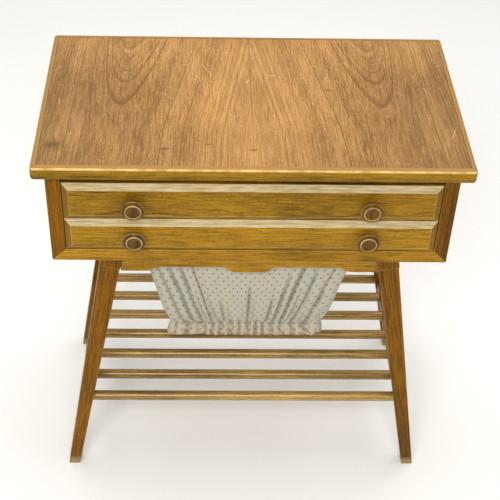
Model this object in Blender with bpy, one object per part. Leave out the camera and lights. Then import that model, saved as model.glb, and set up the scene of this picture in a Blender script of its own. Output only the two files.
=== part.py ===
"""A small sewing table: two drawers side-hung in a mitred case, a shelf of round rods between splayed
legs, and a gathered fabric workbag that slides out from under the case.

Metres, +Z up. The origin is on the floor below the tabletop's centre, and the front faces -Y.
"""

from math import cos, pi, radians, sin

import bmesh
import bpy
from mathutils import Vector

GAP = 0.0003  # clearance between pieces that touch

# Tabletop
TOP_WIDTH = 0.600
TOP_DEPTH = 0.344
TOP_THICKNESS = 0.021
HEIGHT = 0.640
LIPPING_WIDTH = 0.008
LIPPING_RADIUS = 0.0045
LIPPING_ARC_STEPS = 3

# Case
CASE_WIDTH = 0.568
CASE_DEPTH = 0.3068
CASE_HEIGHT = 0.1575
BOARD = 0.0205
BACK_PANEL = 0.006
BACK_PANEL_INSET = 0.001
TOP_RAIL_WIDTH = 0.043
TOP_RAIL_THICKNESS = 0.0164
TOP_RAIL_INSET = 0.0054

# Drawers
DRAWER_FRONTS = {"upper": (0.5395, 0.6009), "lower": (0.4835, 0.5383)}
DRAWER_WIDTH = 0.525
FRONT_BACK_Y = -0.139
FRONT_EDGE_Y = -0.1525
FRONT_FACE_Y = -0.1585
FRONT_BEVEL = 0.009
DRAWER_REAR_Y = 0.136
DRAWER_SIDE = 0.012
DRAWER_SIDE_CLEARANCE = 0.0016
DRAWER_BACK = 0.010
DRAWER_BOTTOM = 0.004
SIDE_LIFT = 0.003
SIDE_DROP = 0.006
BOTTOM_LIFT = 0.005
BOTTOM_GROOVE_DEPTH = 0.004
RUNNER_HEIGHT = 0.010
RUNNER_THICKNESS = 0.007
RUNNER_CLEARANCE = 0.0005
RUNNER_GROOVE_DEPTH = 0.0065
RUNNER_FRONT_Y = -0.136

# Knobs: distance from the drawer's face and radius, along the turned outline
KNOB_X = 0.1645
KNOB_DROP = {"upper": 0.0033, "lower": 0.0}  # below the middle of the front
KNOB_BORE = 0.00225
KNOB_BORE_DEPTH = 0.010
KNOB_OUTLINE = (
    (0.0, 0.0090), (0.0018, 0.0090), (0.0030, 0.0068), (0.0060, 0.0066), (0.0085, 0.0115),
    (0.0104, 0.0160), (0.0122, 0.0164), (0.0132, 0.0154), (0.0134, 0.0124), (0.0156, 0.0117),
    (0.0160, 0.0110), (0.0150, 0.0096), (0.0138, 0.0056), (0.0134, 0.0),
)
KNOB_SIDES = 20

# Legs, with the half-widths that their two edges reach at the floor and at the case
LEG_TOP_Z = 0.4612
LEG_OUTER_TOP = 0.2155
LEG_INNER_TOP = 0.185
LEG_OUTER_FOOT = 0.292
LEG_INNER_FOOT = 0.2737
LEG_FACE_Y = 0.151
LEG_DEPTH_TOP = 0.032
LEG_DEPTH_FOOT = 0.020
SHOULDER_OUTER_Z = 0.4484
SHOULDER_INNER_Z = 0.4422
SHOULDER_STEP = 0.001

# Rails that join the legs
APRON_X = (0.1945, 0.2105)
APRON_HALF_LENGTH = 0.1176
APRON_Z = (0.421, 0.4612)
BACK_APRON_Y = (0.135, 0.1505)
BACK_APRON_Z = (0.428, 0.4612)
SHELF_RAIL_X = (0.246, 0.262)
SHELF_RAIL_Z = (0.148, 0.172)
SHELF_RAIL_HALF_LENGTH = 0.1262

# Shelf rods
ROD_COUNT = 7
ROD_PITCH = 0.047
ROD_RADIUS = 0.008
ROD_Z = 0.160
ROD_HALF_LENGTH = 0.255
ROD_SIDES = 12

# Workbag frame and its guides
BAG_RAIL_Y = (-0.150, -0.134)
BAG_RAIL_Z = (0.438, 0.4594)
BAG_RAIL_CLEARANCE = 0.0008
BAG_ARCH_Z = 0.446
BAG_TAB_Z = 0.4362
BAG_FRAME_X = (0.153, 0.1655)
BAG_FRAME_Z = (0.441, 0.457)
BAG_FRAME_REAR_Y = 0.118
BAG_BACK_RAIL = 0.014
TONGUE_X = 0.1715
TONGUE_Z = (0.4462, 0.4518)
GUIDE_X = (0.1665, 0.1834)
GUIDE_Y = (-0.131, 0.134)
GUIDE_Z = (0.4405, 0.4612)
GUIDE_GROOVE_X = 0.1722
GUIDE_GROOVE_Z = (0.4452, 0.4528)

# Fabric bag: height, half-width and half-depth of its outer surface, from the mouth to the hem
BAG_CENTRE_Y = -0.015
BAG_WALL = 0.0025
BAG_RINGS = (
    (0.4560, 0.1527, 0.1187), (0.4380, 0.1527, 0.1187), (0.4150, 0.1525, 0.1180), (0.3880, 0.1465, 0.1135),
    (0.3420, 0.1345, 0.1045), (0.3050, 0.1230, 0.0975), (0.2930, 0.1180, 0.0945), (0.2710, 0.1215, 0.0980),
)
BAG_CORNER = 0.008
BAG_CORNER_STEPS = 4
BASE_Z = (0.2955, 0.3005)
BASE_HALF_WIDTH = 0.1128
BASE_HALF_DEPTH = 0.0898
BASE_CORNER = 0.005

# Knob screws, put in from inside the drawer
SCREW_SHANK = 0.0017
SCREW_HOLE = 0.0024
SCREW_HEAD = 0.0035
SCREW_HEAD_HEIGHT = 0.0023
SCREW_SIDES = 8
CUT_LEAD = 0.001

# Places worked out from the sizes above
TOP_UNDERSIDE = HEIGHT - TOP_THICKNESS
CASE_BOTTOM = TOP_UNDERSIDE - CASE_HEIGHT
CASE_FLOOR = CASE_BOTTOM + BOARD
CASE_TOP = TOP_UNDERSIDE - GAP
CASE_OUTER = CASE_WIDTH / 2
CASE_INNER = CASE_OUTER - BOARD
CASE_FRONT = -CASE_DEPTH / 2
CASE_REAR = CASE_DEPTH / 2
SIDE_OUTER = CASE_INNER - DRAWER_SIDE_CLEARANCE
SIDE_INNER = SIDE_OUTER - DRAWER_SIDE
TOP_RAIL_Z = CASE_TOP - TOP_RAIL_THICKNESS
TOP_RAIL_SPANS = {
    "top_front_rail": (CASE_FRONT + TOP_RAIL_INSET, CASE_FRONT + TOP_RAIL_INSET + TOP_RAIL_WIDTH),
    "top_back_rail": (
        CASE_REAR - BACK_PANEL_INSET - BACK_PANEL - GAP - TOP_RAIL_WIDTH,
        CASE_REAR - BACK_PANEL_INSET - BACK_PANEL - GAP,
    ),
}
ENDS = (("left", -1), ("right", 1))

# Looks: sRGB colour, roughness, metallic
LOOKS = {
    "top_veneer": ((0.72, 0.53, 0.33), 0.45, 0.0),
    "lipping_wood": ((0.62, 0.46, 0.22), 0.45, 0.0),
    "case_wood": ((0.55, 0.35, 0.10), 0.45, 0.0),
    "drawer_front_wood": ((0.61, 0.46, 0.16), 0.42, 0.0),
    "drawer_box_wood": ((0.74, 0.60, 0.40), 0.60, 0.0),
    "plywood": ((0.72, 0.58, 0.38), 0.65, 0.0),
    "knob_wood": ((0.30, 0.17, 0.06), 0.30, 0.0),
    "leg_wood": ((0.56, 0.37, 0.12), 0.45, 0.0),
    "rail_wood": ((0.60, 0.44, 0.18), 0.45, 0.0),
    "rod_wood": ((0.52, 0.41, 0.22), 0.45, 0.0),
    "bag_fabric": ((0.69, 0.68, 0.60), 0.90, 0.0),
    "screw_steel": ((0.55, 0.53, 0.50), 0.35, 1.0),
}


def clear_scene():
    for obj in list(bpy.data.objects):
        bpy.data.objects.remove(obj, do_unlink=True)


def linear(channel):
    if channel <= 0.04045:
        return channel / 12.92
    return ((channel + 0.055) / 1.055) ** 2.4


def make_material(name, colour, roughness, metallic):
    material = bpy.data.materials.new(name)
    material.use_nodes = True
    shader = material.node_tree.nodes["Principled BSDF"]
    shader.inputs["Base Color"].default_value = (*[linear(c) for c in colour], 1.0)
    shader.inputs["Roughness"].default_value = roughness
    shader.inputs["Metallic"].default_value = metallic
    return material


def make_empty(name, location, parent=None):
    empty = bpy.data.objects.new(name, None)
    bpy.context.collection.objects.link(empty)
    empty.location = location
    if parent:
        empty.parent = parent
        empty.matrix_parent_inverse = parent.matrix_basis.inverted()
    return empty


def make_object(name, solid, look, parent, smooth=False):
    """Turns a bmesh into a named object. Its mesh is in world coordinates, whatever its parent."""
    bmesh.ops.recalc_face_normals(solid, faces=solid.faces)
    mesh = bpy.data.meshes.new(name)
    solid.to_mesh(mesh)
    solid.free()
    if smooth:
        mesh.shade_smooth()
        mesh.set_sharp_from_angle(angle=radians(35))
    mesh.materials.append(MATERIALS[look])
    obj = bpy.data.objects.new(name, mesh)
    bpy.context.collection.objects.link(obj)
    obj.parent = parent
    obj.matrix_parent_inverse = parent.matrix_basis.inverted()
    return obj


def add_rings(solid, rings, closed=False):
    """Joins rings of points with faces. The two end rings are capped, or joined to each other."""
    rows = [[solid.verts.new(point) for point in ring] for ring in rings]
    pairs = list(zip(rows, rows[1:]))
    if closed:
        pairs.append((rows[-1], rows[0]))
    for low, high in pairs:
        count = len(low)
        for i in range(count):
            solid.faces.new((low[i], low[(i + 1) % count], high[(i + 1) % count], high[i]))
    if not closed:
        solid.faces.new(rows[0])
        solid.faces.new(rows[-1])


def add_turned(solid, outline, start, direction, sides):
    """Adds a turned solid. The outline is (distance, radius) pairs whose ends lie on the axis."""
    turn = Vector(direction).to_track_quat("Z", "Y")
    rows = []
    for distance, radius in outline:
        if radius == 0:
            rows.append([solid.verts.new(Vector(start) + turn @ Vector((0, 0, distance)))])
            continue
        row = []
        for i in range(sides):
            angle = 2 * pi * i / sides
            offset = Vector((radius * cos(angle), radius * sin(angle), distance))
            row.append(solid.verts.new(Vector(start) + turn @ offset))
        rows.append(row)
    for low, high in zip(rows, rows[1:]):
        for i in range(sides):
            j = (i + 1) % sides
            corners = [low[i % len(low)], low[j % len(low)], high[j % len(high)], high[i % len(high)]]
            solid.faces.new(list(dict.fromkeys(corners)))


def rod_outline(length, radius):
    return [(0, 0), (0, radius), (length, radius), (length, 0)]


def prism(name, outline, axis, span, look, parent):
    """Extrudes a flat outline along an axis: (y, z) points for X, (x, z) for Y and (x, y) for Z."""
    place = {
        "X": lambda u, v, w: (w, u, v),
        "Y": lambda u, v, w: (u, w, v),
        "Z": lambda u, v, w: (u, v, w),
    }[axis]
    solid = bmesh.new()
    add_rings(solid, [[place(u, v, w) for u, v in outline] for w in span])
    return make_object(name, solid, look, parent)


def block(name, xs, ys, zs, look, parent):
    outline = [(xs[0], zs[0]), (xs[1], zs[0]), (xs[1], zs[1]), (xs[0], zs[1])]
    return prism(name, outline, "Y", ys, look, parent)


def mirrored(sign, outline):
    return [(sign * u, v) for u, v in outline]


def cut_with(obj, cutter):
    cutter.hide_render = True
    cutter.display_type = "WIRE"
    modifier = obj.modifiers.new("holes", "BOOLEAN")
    modifier.operation = "DIFFERENCE"
    modifier.solver = "EXACT"
    modifier.object = cutter


def rounded_rectangle(half_x, half_y, centre_y, radius, steps):
    points = []
    for quarter, (sx, sy) in enumerate(((1, 1), (-1, 1), (-1, -1), (1, -1))):
        for i in range(steps + 1):
            angle = pi / 2 * (quarter + i / steps)
            x = sx * (half_x - radius) + radius * cos(angle)
            y = centre_y + sy * (half_y - radius) + radius * sin(angle)
            points.append((x, y))
    return points


def s_curve(low, high, steps):
    """Heights along a smooth S-curve between two levels, without its ends."""
    return [low + (high - low) * (1 - cos(pi * i / steps)) / 2 for i in range(1, steps)]


def make_tabletop(root):
    inner_x = TOP_WIDTH / 2 - LIPPING_WIDTH - GAP
    inner_y = TOP_DEPTH / 2 - LIPPING_WIDTH - GAP
    heights = (TOP_UNDERSIDE, HEIGHT)
    block("top_panel", (-inner_x, inner_x), (-inner_y, inner_y), heights, "top_veneer", root)
    outline = [(LIPPING_WIDTH, TOP_UNDERSIDE)]
    for centre_z, first in ((TOP_UNDERSIDE + LIPPING_RADIUS, -90), (HEIGHT - LIPPING_RADIUS, 180)):
        for i in range(LIPPING_ARC_STEPS + 1):
            turned = i / LIPPING_ARC_STEPS * 90
            angle = radians(first - turned)
            inward = LIPPING_RADIUS + LIPPING_RADIUS * cos(angle)
            outline.append((inward, centre_z + LIPPING_RADIUS * sin(angle)))
    outline.append((LIPPING_WIDTH, HEIGHT))
    mitre = 0.0002
    for name, sign in (("front", -1), ("back", 1)):
        rings = []
        for end in (-1, 1):
            rings.append(
                [(end * (TOP_WIDTH / 2 - d - mitre), sign * (TOP_DEPTH / 2 - d), z) for d, z in outline]
            )
        solid = bmesh.new()
        add_rings(solid, rings)
        make_object(f"top_lipping_{name}", solid, "lipping_wood", root)
    for name, sign in ENDS:
        rings = []
        for end in (-1, 1):
            rings.append(
                [(sign * (TOP_WIDTH / 2 - d), end * (TOP_DEPTH / 2 - d - mitre), z) for d, z in outline]
            )
        solid = bmesh.new()
        add_rings(solid, rings)
        make_object(f"top_lipping_{name}", solid, "lipping_wood", root)


def make_case(root):
    mitre = GAP * 2**0.5
    side = [
        (CASE_INNER, CASE_TOP), (CASE_OUTER, CASE_TOP), (CASE_OUTER, CASE_BOTTOM + mitre),
        (CASE_INNER, CASE_FLOOR + mitre),
    ]
    span = (CASE_FRONT, CASE_REAR)
    for name, sign in ENDS:
        prism(f"case_{name}_side", mirrored(sign, side), "Y", span, "case_wood", root)
    floor = [
        (-CASE_OUTER, CASE_BOTTOM), (CASE_OUTER, CASE_BOTTOM), (CASE_INNER, CASE_FLOOR),
        (-CASE_INNER, CASE_FLOOR),
    ]
    prism("case_bottom", floor, "Y", span, "rail_wood", root)
    across = (GAP - CASE_INNER, CASE_INNER - GAP)
    rear = CASE_REAR - BACK_PANEL_INSET
    block("case_back", across, (rear - BACK_PANEL, rear), (CASE_FLOOR + GAP, CASE_TOP), "plywood", root)
    for name, rail_span in TOP_RAIL_SPANS.items():
        block(name, across, rail_span, (TOP_RAIL_Z, CASE_TOP), "case_wood", root)


def make_drawer_runners(root):
    for level, (low, high) in DRAWER_FRONTS.items():
        centre = (low + high) / 2
        heights = (centre - RUNNER_HEIGHT / 2, centre + RUNNER_HEIGHT / 2)
        for name, sign in ENDS:
            outer = sign * (CASE_INNER - GAP)
            xs = sorted((outer, outer - sign * RUNNER_THICKNESS))
            ys = (RUNNER_FRONT_Y, DRAWER_REAR_Y)
            block(f"{level}_runner_{name}", xs, ys, heights, "drawer_box_wood", root)


def make_drawer_front(level, low, high, slide):
    half = DRAWER_WIDTH / 2
    inner = half - FRONT_BEVEL
    rings = []
    for x, bottom, top, y in (
        (half, low, high, FRONT_BACK_Y),
        (half, low, high, FRONT_EDGE_Y),
        (inner, low + FRONT_BEVEL, high - FRONT_BEVEL, FRONT_FACE_Y),
    ):
        rings.append([(-x, y, bottom), (x, y, bottom), (x, y, top), (-x, y, top)])
    solid = bmesh.new()
    add_rings(solid, rings)
    front = make_object(f"{level}_drawer_front", solid, "drawer_front_wood", slide)

    cuts = bmesh.new()
    groove_low = low + SIDE_LIFT + BOTTOM_LIFT
    groove_high = groove_low + DRAWER_BOTTOM + 2 * GAP
    groove_end = SIDE_INNER + BOTTOM_GROOVE_DEPTH
    corners = [(-groove_end, groove_low), (groove_end, groove_low)]
    corners += [(groove_end, groove_high), (-groove_end, groove_high)]
    ys = (FRONT_BACK_Y - BOTTOM_GROOVE_DEPTH - GAP, FRONT_BACK_Y + CUT_LEAD)
    add_rings(cuts, [[(x, y, z) for x, z in corners] for y in ys])
    length = FRONT_BACK_Y - FRONT_FACE_Y + 2 * CUT_LEAD
    for sign in (-1, 1):
        start = (sign * KNOB_X, FRONT_BACK_Y + CUT_LEAD, (low + high) / 2 - KNOB_DROP[level])
        add_turned(cuts, rod_outline(length, SCREW_HOLE), start, (0, -1, 0), SCREW_SIDES)
    cut_with(front, make_object(f"{level}_drawer_front_cuts", cuts, "drawer_front_wood", slide))


def make_drawer_box(level, low, high, slide):
    centre = (low + high) / 2
    bottom = low + SIDE_LIFT
    top = high - SIDE_DROP
    floor_low = bottom + BOTTOM_LIFT
    floor_high = floor_low + DRAWER_BOTTOM + 2 * GAP
    runner_low = centre - RUNNER_HEIGHT / 2 - RUNNER_CLEARANCE
    runner_high = centre + RUNNER_HEIGHT / 2 + RUNNER_CLEARANCE
    side = [
        (SIDE_INNER, bottom), (SIDE_OUTER, bottom),
        (SIDE_OUTER, runner_low), (SIDE_OUTER - RUNNER_GROOVE_DEPTH, runner_low),
        (SIDE_OUTER - RUNNER_GROOVE_DEPTH, runner_high), (SIDE_OUTER, runner_high),
        (SIDE_OUTER, top), (SIDE_INNER, top),
        (SIDE_INNER, floor_high), (SIDE_INNER + BOTTOM_GROOVE_DEPTH, floor_high),
        (SIDE_INNER + BOTTOM_GROOVE_DEPTH, floor_low), (SIDE_INNER, floor_low),
    ]
    span = (FRONT_BACK_Y + GAP, DRAWER_REAR_Y)
    for name, sign in ENDS:
        prism(f"{level}_drawer_{name}_side", mirrored(sign, side), "Y", span, "drawer_box_wood", slide)
    reach = SIDE_INNER - GAP
    back_span = (DRAWER_REAR_Y - DRAWER_BACK, DRAWER_REAR_Y)
    block(f"{level}_drawer_back", (-reach, reach), back_span, (floor_high, top), "drawer_box_wood", slide)
    reach = SIDE_INNER + BOTTOM_GROOVE_DEPTH - GAP
    floor_span = (FRONT_BACK_Y - BOTTOM_GROOVE_DEPTH, DRAWER_REAR_Y)
    heights = (floor_low + GAP, floor_high - GAP)
    block(f"{level}_drawer_bottom", (-reach, reach), floor_span, heights, "plywood", slide)


def make_knobs(level, low, high, slide):
    bore = [(KNOB_BORE_DEPTH, 0.0), (KNOB_BORE_DEPTH, KNOB_BORE), (0.0, KNOB_BORE)]
    outline = bore + list(KNOB_OUTLINE)
    reach = FRONT_BACK_Y - FRONT_FACE_Y + KNOB_BORE_DEPTH - 0.001
    head = SCREW_HEAD_HEIGHT
    screw_outline = [
        (-head, 0.0), (-head, 0.7 * SCREW_HEAD), (-head / 2, SCREW_HEAD), (0.0, SCREW_HEAD),
        (0.0, SCREW_SHANK), (reach, SCREW_SHANK), (reach, 0.0),
    ]
    centre = (low + high) / 2 - KNOB_DROP[level]
    for name, sign in ENDS:
        knob = bmesh.new()
        add_turned(knob, outline, (sign * KNOB_X, FRONT_FACE_Y - GAP, centre), (0, -1, 0), KNOB_SIDES)
        make_object(f"{level}_{name}_knob", knob, "knob_wood", slide, smooth=True)
        screw = bmesh.new()
        place = (sign * KNOB_X, FRONT_BACK_Y + GAP, centre)
        add_turned(screw, screw_outline, place, (0, -1, 0), SCREW_SIDES)
        make_object(f"{level}_{name}_knob_screw", screw, "screw_steel", slide, smooth=True)


def leg_x(z, foot, top):
    return foot + (top - foot) * z / LEG_TOP_Z


def leg_depth(z):
    return LEG_DEPTH_FOOT + (LEG_DEPTH_TOP - LEG_DEPTH_FOOT) * z / LEG_TOP_Z


def leg_ring(outer_z, inner_z, proud):
    """The corners of a leg's section, which tilts when its outer and inner edges differ in height."""
    outer = leg_x(outer_z, LEG_OUTER_FOOT, LEG_OUTER_TOP) + proud
    inner = leg_x(inner_z, LEG_INNER_FOOT, LEG_INNER_TOP) - proud
    face = LEG_FACE_Y + proud
    return [
        (outer, face, outer_z),
        (inner, face, inner_z),
        (inner, LEG_FACE_Y - leg_depth(inner_z) - proud, inner_z),
        (outer, LEG_FACE_Y - leg_depth(outer_z) - proud, outer_z),
    ]


def make_legs(root):
    rings = [
        leg_ring(0.0, 0.0, 0.0),
        leg_ring(SHOULDER_OUTER_Z, SHOULDER_INNER_Z, 0.0),
        leg_ring(SHOULDER_OUTER_Z + SHOULDER_STEP, SHOULDER_INNER_Z + SHOULDER_STEP, SHOULDER_STEP),
        leg_ring(LEG_TOP_Z, LEG_TOP_Z, SHOULDER_STEP),
    ]
    for depth_name, depth_sign in (("front", -1), ("back", 1)):
        for name, sign in ENDS:
            solid = bmesh.new()
            add_rings(solid, [[(sign * x, depth_sign * y, z) for x, y, z in ring] for ring in rings])
            leg = make_object(f"{depth_name}_{name}_leg", solid, "leg_wood", root)
            y = depth_sign * ROD_PITCH * (ROD_COUNT // 2)
            cut_with(leg, make_rod_sockets(f"{depth_name}_{name}_leg_socket", sign, [y], "leg_wood", root))


def make_rod_sockets(name, sign, places, look, parent):
    cuts = bmesh.new()
    inside = LEG_INNER_TOP
    length = ROD_HALF_LENGTH + GAP - inside
    outline = rod_outline(length, ROD_RADIUS + GAP)
    for y in places:
        add_turned(cuts, outline, (sign * inside, y, ROD_Z), (sign, 0, 0), ROD_SIDES)
    return make_object(name, cuts, look, parent)


def make_shelf(root):
    middle = ROD_COUNT // 2
    inner_rods = [ROD_PITCH * i for i in range(1 - middle, middle)]
    length = (-SHELF_RAIL_HALF_LENGTH, SHELF_RAIL_HALF_LENGTH)
    for name, sign in ENDS:
        xs = sorted(sign * x for x in SHELF_RAIL_X)
        rail = block(f"{name}_shelf_rail", xs, length, SHELF_RAIL_Z, "leg_wood", root)
        cut_with(rail, make_rod_sockets(f"{name}_shelf_rail_sockets", sign, inner_rods, "leg_wood", root))
    outline = rod_outline(2 * ROD_HALF_LENGTH, ROD_RADIUS)
    for i in range(ROD_COUNT):
        rod = bmesh.new()
        start = (-ROD_HALF_LENGTH, ROD_PITCH * (i - middle), ROD_Z)
        add_turned(rod, outline, start, (1, 0, 0), ROD_SIDES)
        make_object(f"shelf_rod_{i + 1}", rod, "rod_wood", root, smooth=True)


def between_legs(z):
    """Half the free width between the legs' heads at a height near the case."""
    return leg_x(z, LEG_INNER_FOOT, LEG_INNER_TOP) - SHOULDER_STEP - BAG_RAIL_CLEARANCE


def make_aprons(root):
    length = (-APRON_HALF_LENGTH, APRON_HALF_LENGTH)
    for name, sign in ENDS:
        xs = sorted(sign * x for x in APRON_X)
        block(f"{name}_apron", xs, length, APRON_Z, "leg_wood", root)
    low, high = BACK_APRON_Z
    outline = [
        (-between_legs(low), low), (between_legs(low), low),
        (between_legs(high), high), (-between_legs(high), high),
    ]
    prism("back_apron", outline, "Y", BACK_APRON_Y, "leg_wood", root)


def bag_rail_outline():
    """The rail's front view: a tab in the middle of its lower edge and an arch on each side of it."""
    low, high = BAG_RAIL_Z
    steps = 6
    tab, tab_end, arch_end, flat_start = 0.022, 0.039, 0.128, 0.150
    half = [(tab, BAG_TAB_Z)]
    for i, z in enumerate(s_curve(BAG_TAB_Z, BAG_ARCH_Z, steps), 1):
        half.append((tab + (tab_end - tab) * i / steps, z))
    half += [(tab_end, BAG_ARCH_Z), (arch_end, BAG_ARCH_Z)]
    for i, z in enumerate(s_curve(BAG_ARCH_Z, low, steps), 1):
        half.append((arch_end + (flat_start - arch_end) * i / steps, z))
    half += [(flat_start, low), (between_legs(low), low), (between_legs(high), high)]
    return half + [(-x, z) for x, z in reversed(half)]


def make_bag_frame(slide):
    prism("bag_front_rail", bag_rail_outline(), "Y", BAG_RAIL_Y, "rail_wood", slide)
    inner, outer = BAG_FRAME_X
    low, high = BAG_FRAME_Z
    side = [
        (inner, low), (outer, low), (outer, TONGUE_Z[0]), (TONGUE_X, TONGUE_Z[0]),
        (TONGUE_X, TONGUE_Z[1]), (outer, TONGUE_Z[1]), (outer, high), (inner, high),
    ]
    span = (BAG_RAIL_Y[1] + GAP, BAG_FRAME_REAR_Y)
    for name, sign in ENDS:
        prism(f"bag_{name}_rail", mirrored(sign, side), "Y", span, "drawer_box_wood", slide)
    reach = inner - GAP
    ys = (BAG_FRAME_REAR_Y - BAG_BACK_RAIL, BAG_FRAME_REAR_Y)
    block("bag_back_rail", (-reach, reach), ys, BAG_FRAME_Z, "drawer_box_wood", slide)


def make_bag_guides(root):
    inner, outer = GUIDE_X
    low, high = GUIDE_Z
    outline = [
        (inner, low), (outer, low), (outer, high), (inner, high), (inner, GUIDE_GROOVE_Z[1]),
        (GUIDE_GROOVE_X, GUIDE_GROOVE_Z[1]), (GUIDE_GROOVE_X, GUIDE_GROOVE_Z[0]), (inner, GUIDE_GROOVE_Z[0]),
    ]
    for name, sign in ENDS:
        prism(f"bag_{name}_guide", mirrored(sign, outline), "Y", GUIDE_Y, "drawer_box_wood", root)


def make_bag(slide):
    """A tapered tube of cloth, open at its mouth and hem, with the base board across its foot."""
    rings = []
    for inset, order in ((0.0, BAG_RINGS), (BAG_WALL, BAG_RINGS[::-1])):
        for z, half_x, half_y in order:
            outline = rounded_rectangle(
                half_x - inset, half_y - inset, BAG_CENTRE_Y, BAG_CORNER - inset, BAG_CORNER_STEPS
            )
            rings.append([(x, y, z) for x, y in outline])
    cloth = bmesh.new()
    add_rings(cloth, rings, closed=True)
    make_object("workbag", cloth, "bag_fabric", slide)
    outline = rounded_rectangle(
        BASE_HALF_WIDTH, BASE_HALF_DEPTH, BAG_CENTRE_Y, BASE_CORNER, BAG_CORNER_STEPS
    )
    prism("bag_base", outline, "Z", BASE_Z, "plywood", slide)


clear_scene()
MATERIALS = {name: make_material(name, *look) for name, look in LOOKS.items()}
table = make_empty("table", (0, 0, 0))
make_tabletop(table)
make_case(table)
make_drawer_runners(table)
for level, (low, high) in DRAWER_FRONTS.items():
    drawer_slide = make_empty(f"{level}_drawer_slide", (0, FRONT_FACE_Y, (low + high) / 2), table)
    make_drawer_front(level, low, high, drawer_slide)
    make_drawer_box(level, low, high, drawer_slide)
    make_knobs(level, low, high, drawer_slide)
make_legs(table)
make_aprons(table)
make_shelf(table)
bag_slide = make_empty("workbag_slide", (0, BAG_RAIL_Y[0], BAG_RAIL_Z[1]), table)
make_bag_frame(bag_slide)
make_bag_guides(table)
make_bag(bag_slide)
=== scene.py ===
from functools import partial
from math import cos, hypot, pi, radians, sin

import bmesh
import bpy
from mathutils import Matrix, Vector, noise


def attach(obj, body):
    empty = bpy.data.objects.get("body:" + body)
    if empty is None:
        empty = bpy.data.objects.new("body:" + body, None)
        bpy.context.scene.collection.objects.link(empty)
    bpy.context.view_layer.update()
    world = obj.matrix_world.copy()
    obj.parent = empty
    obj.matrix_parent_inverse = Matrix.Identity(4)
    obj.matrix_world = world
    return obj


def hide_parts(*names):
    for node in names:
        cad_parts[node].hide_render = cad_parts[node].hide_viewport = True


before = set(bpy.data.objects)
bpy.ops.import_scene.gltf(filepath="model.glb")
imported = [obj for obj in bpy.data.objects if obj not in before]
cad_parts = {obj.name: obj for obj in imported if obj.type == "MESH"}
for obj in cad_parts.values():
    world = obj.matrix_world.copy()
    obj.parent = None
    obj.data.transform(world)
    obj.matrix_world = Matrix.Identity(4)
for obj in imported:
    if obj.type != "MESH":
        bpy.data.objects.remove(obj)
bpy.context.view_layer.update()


# ---
# Studio. A pale seamless floor and white walls, a soft light high in front and a broader one overhead.
# The camera stands in front of the table and looks down on it.

camera_place = (-0.06958, -1.40969, 1.57241)
camera_yaw = 1.8369
camera_pitch = 41.0181
camera_roll = 1.608
camera_lens = 83.756
camera_shift = (0.04, 0.004)

scene = bpy.context.scene
scene.view_settings.view_transform = "Standard"

camera = bpy.data.objects.new("camera", bpy.data.cameras.new("camera"))
camera.data.lens = camera_lens
camera.data.sensor_width = 36.0
camera.data.shift_x, camera.data.shift_y = camera_shift
camera.matrix_world = (
    Matrix.Translation(camera_place)
    @ Matrix.Rotation(radians(-camera_yaw), 4, "Z")
    @ Matrix.Rotation(radians(90.0 - camera_pitch), 4, "X")
    @ Matrix.Rotation(radians(camera_roll), 4, "Z")
)
scene.collection.objects.link(camera)
scene.camera = camera

room = bpy.data.worlds.new("white walls")
room.use_nodes = True
room.node_tree.nodes["Background"].inputs["Color"].default_value = (1.0, 0.99, 0.975, 1.0)
room.node_tree.nodes["Background"].inputs["Strength"].default_value = 0.55
scene.world = room


def add_softbox(name, place, aim, width, height, watts, colour):
    lamp = bpy.data.lights.new(name, "AREA")
    lamp.shape = "RECTANGLE"
    lamp.size = width
    lamp.size_y = height
    lamp.energy = watts
    lamp.color = colour
    softbox = bpy.data.objects.new(name, lamp)
    facing = (Vector(aim) - Vector(place)).to_track_quat("-Z", "Y").to_matrix().to_4x4()
    softbox.matrix_world = Matrix.Translation(place) @ facing
    scene.collection.objects.link(softbox)


add_softbox("front softbox", (-0.3, -2.1, 2.35), (0.0, 0.0, 0.5), 1.5, 0.6, 50.0, (1.0, 0.98, 0.95))
add_softbox("top softbox", (0.1, 0.5, 2.6), (0.0, 0.0, 0.6), 2.4, 1.8, 32.0, (1.0, 0.985, 0.96))


def srgb(red, green, blue):
    """A colour as it is mixed for the eye, turned into the linear values that a shader takes."""
    curve = [c / 12.92 if c <= 0.04045 else ((c + 0.055) / 1.055) ** 2.4 for c in (red, green, blue)]
    return (*curve, 1.0)


def feed(node, inputs):
    """Gives each named or numbered input of a node a value or a link."""
    for key, value in dict(inputs).items():
        if isinstance(value, bpy.types.NodeSocket):
            node.id_data.links.new(value, node.inputs[key])
        else:
            node.inputs[key].default_value = value


def wire(tree, kind, inputs=(), **settings):
    """Adds a node, sets its options and feeds its inputs."""
    node = tree.nodes.new(kind)
    node.location = (240 * (len(tree.nodes) % 9), -320 * (len(tree.nodes) // 9))
    for key, value in settings.items():
        setattr(node, key, value)
    feed(node, inputs)
    return node


def made(*choices, **settings):
    """Adds a node as wire does, and hands on the first value it puts out."""
    return wire(*choices, **settings).outputs[0]


def home(values):
    """The node tree that a set of values is being worked out in."""
    return next(value for value in values if isinstance(value, bpy.types.NodeSocket)).id_data


def calc(operation, *terms, clamp=False):
    """One Math node."""
    return made(home(terms), "ShaderNodeMath", enumerate(terms), operation=operation, use_clamp=clamp)


plus, minus, times = partial(calc, "ADD"), partial(calc, "SUBTRACT"), partial(calc, "MULTIPLY")


def between(value, low, high, to_low=0.0, to_high=1.0):
    """One Map Range node, clamped."""
    steps = {"Value": value, "From Min": low, "From Max": high, "To Min": to_low, "To Max": to_high}
    return made(value.id_data, "ShaderNodeMapRange", steps)


def mixed(factor, first, second, blend="MIX"):
    """One colour Mix node."""
    colours = {0: factor, 6: first, 7: second}
    return wire(
        home(colours.values()), "ShaderNodeMix", colours, data_type="RGBA", blend_type=blend
    ).outputs[2]


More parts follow.
